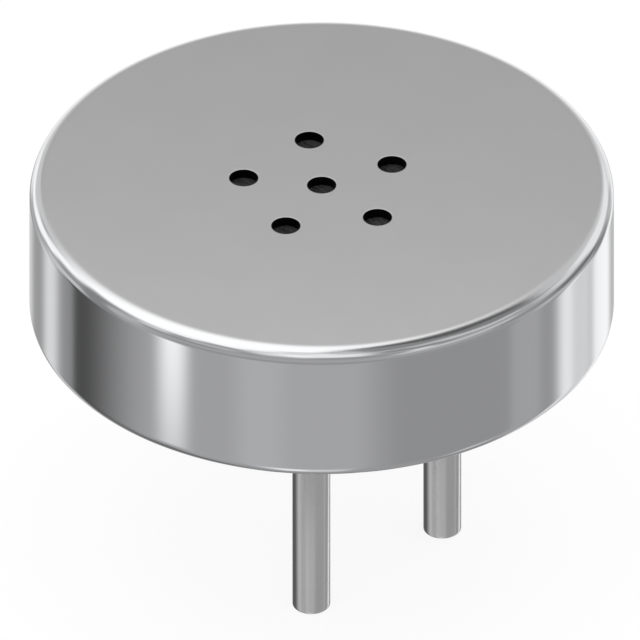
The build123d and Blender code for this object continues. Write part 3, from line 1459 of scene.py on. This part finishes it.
def glowing(name: str, draw: Callable[[Sheet], tuple[object, object]]) -> bpy.types.Material:
    """Make a material that glows in places and is clear elsewhere.

    Args:
        name: name of the material.
        draw: draws where it glows, and how strongly.

    Returns:
        The material.
    """
    made = bpy.data.materials.new(name)
    sheet = Sheet.emptied(made)
    mask, glow = draw(sheet)
    light = sheet.add("ShaderNodeEmission", Color=(1, 1, 1, 1), Strength=glow)
    clear = sheet.add("ShaderNodeBsdfTransparent")
    sheet.show_through(made, mask, clear.outputs[0], light.outputs[0])
    return made


def hang(
    piece: bpy.types.Object, place: Sequence[float], turn: Sequence[float], light: bpy.types.Material
) -> None:
    """Hang a studio piece that only gloss shows.

    Args:
        piece: the studio piece.
        place: where it goes, in millimetres.
        turn: how it is turned, in degrees.
        light: its material.
    """
    piece.location = Vector(place) * MM
    piece.rotation_euler = [math.radians(angle) for angle in turn]
    piece.data.materials.append(light)
    piece.visible_camera = False
    piece.visible_diffuse = False
    piece.visible_shadow = False


@dataclass(frozen=True)
class Panel:
    """A glowing panel with soft edges, near the capsule, which only gloss shows.

    Its place is in millimetres and its turns are in degrees, on the capsule's axes.
    """

    name: str
    place: tuple[float, float, float]
    turn: tuple[float, float, float]
    across: Reach
    along: Reach
    glow: float
    lean: float = 0.0
    half_side: float = 45.0

    def build(self) -> None:
        """Make the panel."""
        deselect_all()
        bpy.ops.mesh.primitive_plane_add(size=2 * self.half_side * MM)
        panel = bpy.context.active_object
        panel.name = self.name
        hang(panel, self.place, self.turn, glowing(f"{self.name}_light", self.draw_light))

    def draw_light(self, sheet: Sheet) -> tuple[object, object]:
        """Draw the panel's light, which fades towards its edges.

        Args:
            sheet: the panel's nodes.

        Returns:
            Where it glows, and how strongly.
        """
        axes = sheet.add("ShaderNodeSeparateXYZ", Vector=sheet.place())
        across, along = axes.outputs["X"], axes.outputs["Y"]
        leaning = sheet.math("ADD", along, sheet.math("MULTIPLY", across, self.lean))
        mask = sheet.math(
            "MULTIPLY",
            self.across.mask(sheet, across, across),
            self.along.mask(sheet, along, leaning),
        )
        return mask, self.glow


@dataclass(frozen=True)
class PinSilk:
    """A curved silk close round a pin, which only the gloss of the pin shows.

    Turns round the pin are in degrees, seen from above: 0 points at the camera and 90 to its right.
    The glow changes smoothly from stop to stop, each a turn and a strength, and the silk is clear
    outside its start and end, and from its outer side.
    """

    side: str
    radius: float
    start: float
    end: float
    soft: float
    stops: tuple[Pair, ...]
    steps: int = 48

    def build(self, pin: str, below: float) -> None:
        """Make the silk as an open tube round a pin.

        Args:
            pin: name of the pin's node.
            below: how far the silk reaches below the pin's tip, in millimetres.
        """
        span = Span.of(pin)
        low = span.low.z - below
        deselect_all()
        bpy.ops.mesh.primitive_cylinder_add(
            vertices=self.steps,
            radius=self.radius * MM,
            depth=-low * MM,
            end_fill_type="NOTHING",
        )
        silk = bpy.context.active_object
        silk.name = f"{pin}_{self.side}_silk"
        place = (*span.centre, low / 2)
        hang(silk, place, (0, 0, CAMERA_BEARING), glowing(f"{silk.name}_light", self.draw_light))

    def draw_light(self, sheet: Sheet) -> tuple[object, object]:
        """Draw the silk's light, which changes round the pin and fades out at both ends.

        Args:
            sheet: the silk's nodes.

        Returns:
            Where it glows, and how strongly.
        """
        axes = sheet.add("ShaderNodeSeparateXYZ", Vector=sheet.place())
        turn = sheet.math("DEGREES", sheet.math("ARCTAN2", axes.outputs["Y"], axes.outputs["X"]))
        last_turn, glow = self.stops[0]
        for next_turn, next_glow in self.stops[1:]:
            glow = sheet.blend(sheet.window(turn, last_turn, next_turn), glow, next_glow)
            last_turn = next_turn
        lit = sheet.math(
            "MULTIPLY",
            sheet.window(turn, self.start, self.start + self.soft),
            sheet.window(turn, self.end, self.end - self.soft),
        )
        inner_side = sheet.add("ShaderNodeNewGeometry").outputs["Backfacing"]
        return sheet.math("MULTIPLY", lit, inner_side), glow


@dataclass
class Studio:
    """The table, the light and the camera.

    The panels and silks were set against the photograph's greys, as the cards were.
    """

    elevation: float = 35.264
    pixels_per_mm: float = 97.45
    frame_pixels: int = 640
    face_centre_pixel: Pair = (321.65, 185.1)
    camera_distance: float = 60.0
    camera_sees_to: float = 1000.0
    table_half_side: float = 150.0
    table_albedo: float = 0.15
    table_glow: float = 0.87
    lamp_place: tuple[float, float, float] = (-40.0, 0.0, 55.0)
    lamp_width: float = 40.0
    lamp_watts: float = 0.002
    softbox: Panel = Panel(
        "softbox_panel",
        place=(0.0, 0.0, 18.0),
        turn=(0.0, 0.0, CAMERA_BEARING),
        across=Reach(-26.0, 11.0, 23.0, 4.0, slow_start=1.2),
        along=Reach(-27.0, 3.2, 3.0, 2.2),
        glow=1.67,
        lean=0.25,
    )
    strip: Panel = Panel(
        "strip_panel",
        place=(-11.6, 3.1, 0.0),
        turn=(90.0, 0.0, 255.0),
        across=Reach(-0.8, 3.2, 1.9, 1.7),
        along=Reach(-8.15, -3.2, 3.6, 1.6),
        glow=1.6,
    )
    silks: tuple[PinSilk, ...] = (
        PinSilk("left", 0.6, -142.0, -30.0, 16.0, ((-98.0, 0.13), (-61.0, 0.70), (-51.0, 0.54))),
        PinSilk(
            "right", 0.7, 76.0, 166.0, 10.0, ((103.0, 0.41), (108.0, 1.28), (115.0, 1.2), (123.0, 0.42))
        ),
    )
    silk_below: float = 1.0

    def build(self, floor_height: float, face_height: float) -> None:
        """Set up the table, the surroundings, the lamp and the camera.

        Args:
            floor_height: height of the table in millimetres.
            face_height: height of the capsule's face in millimetres.
        """
        self.build_camera(face_height)
        self.build_table(floor_height)
        self.build_lamp()
        Surroundings().build()
        self.softbox.build()
        self.strip.build()
        for silk in self.silks:
            for pin in PINS:
                silk.build(pin, self.silk_below)

    def build_camera(self, face_height: float) -> None:
        """Place the camera so that the face's centre falls on its pixel of the photograph.

        Args:
            face_height: height of the capsule's face in millimetres.
        """
        bearing, elevation = math.radians(CAMERA_BEARING), math.radians(self.elevation)
        level = math.cos(elevation)
        back = Vector((level * math.cos(bearing), level * math.sin(bearing), math.sin(elevation)))
        turn = (-back).to_track_quat("-Z", "Y")
        right, up = turn @ Vector((1, 0, 0)), turn @ Vector((0, 1, 0))
        half = self.frame_pixels / 2
        pixel_x, pixel_y = self.face_centre_pixel
        aim = Vector((0, 0, face_height))
        aim -= right * (pixel_x - half) / self.pixels_per_mm
        aim -= up * (half - pixel_y) / self.pixels_per_mm
        data = bpy.data.cameras.new("camera")
        data.type = "ORTHO"
        data.ortho_scale = self.frame_pixels / self.pixels_per_mm * MM
        data.clip_start = MM
        data.clip_end = self.camera_sees_to * MM
        camera = bpy.data.objects.new("camera", data)
        bpy.context.scene.collection.objects.link(camera)
        camera.location = (aim + back * self.camera_distance) * MM
        camera.rotation_mode = "QUATERNION"
        camera.rotation_quaternion = turn
        bpy.context.scene.camera = camera

    def build_table(self, height: float) -> None:
        """Make the white table, which is seen through from below.

        Args:
            height: height of its top in millimetres.
        """
        deselect_all()
        bpy.ops.mesh.primitive_plane_add(size=2 * self.table_half_side * MM, location=(0, 0, height * MM))
        table = bpy.context.active_object
        table.name = "white_table"
        made = bpy.data.materials.new("matt_table")
        sheet = Sheet.emptied(made)
        ray = sheet.add("ShaderNodeLightPath")
        seen = sheet.math("MULTIPLY", ray.outputs["Is Camera Ray"], self.table_glow)
        matt = sheet.add("ShaderNodeBsdfDiffuse", Color=(*[self.table_albedo] * 3, 1))
        light = sheet.add("ShaderNodeEmission", Color=(1, 1, 1, 1), Strength=seen)
        top = sheet.add("ShaderNodeAddShader")
        sheet.feed(matt.outputs[0], top.inputs[0])
        sheet.feed(light.outputs[0], top.inputs[1])
        below = sheet.add("ShaderNodeNewGeometry").outputs["Backfacing"]
        clear = sheet.add("ShaderNodeBsdfTransparent")
        sheet.show_through(made, below, top.outputs[0], clear.outputs[0])
        table.data.materials.append(made)
        table.visible_glossy = False

    def build_lamp(self) -> None:
        """Hang a soft lamp over the left shoulder, for the shade of what isn't metal."""
        data = bpy.data.lights.new("soft_lamp", "AREA")
        data.shape = "DISK"
        data.size = self.lamp_width * MM
        data.energy = self.lamp_watts
        lamp = bpy.data.objects.new("soft_lamp", data)
        bpy.context.scene.collection.objects.link(lamp)
        lamp.location = Vector(self.lamp_place) * MM
        lamp.rotation_mode = "QUATERNION"
        lamp.rotation_quaternion = (-lamp.location).to_track_quat("-Z", "Y")
        lamp.visible_glossy = False


def main() -> None:
    """Build the capsule's pieces, dress them and set up the studio."""
    logging.basicConfig(level=logging.INFO, format="%(name)s %(message)s")
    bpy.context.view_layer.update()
    finishes = Finishes()
    cup = Cup(finishes.cup)
    cup.build()
    Terminals(finishes.pin, finishes.solder).build()
    RearBoard(finishes.board, finishes.copper).build()
    DustCloth(finishes.cloth).build()
    SealedPieces(finishes).dress()
    Studio().build(Span.of("output_pin").low.z, cup.span.high.z)
    bpy.context.scene.view_settings.view_transform = "Standard"


if __name__ == "__main__":
    main()
